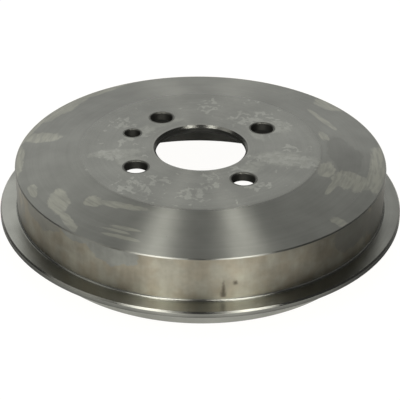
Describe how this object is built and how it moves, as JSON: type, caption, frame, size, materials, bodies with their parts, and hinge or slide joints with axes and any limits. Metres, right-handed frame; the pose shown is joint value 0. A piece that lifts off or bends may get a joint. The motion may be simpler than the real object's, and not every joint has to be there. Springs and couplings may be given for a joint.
{
  "type": "brake drum",
  "caption": "Turned iron rear brake drum with a flat bolting face, conical shoulder, outer flange, rim lip and shoe track inside.",
  "frame": {"origin": "on the axle line, in the plane of the open edge, on which the drum stands", "axes": "+Z along the axle line, out of the closed face towards the wheel; +X through the middle of the first wheel bolt hole; +Y follows by the right hand, through the second one"},
  "size_m": [0.27, 0.27, 0.058],
  "materials": {
    "drum_iron": "turned grey iron with a thin film of oil"
  },
  "bodies": {
    "root": {"brake_drum": "drum_iron"}
  },
  "joints": []
}
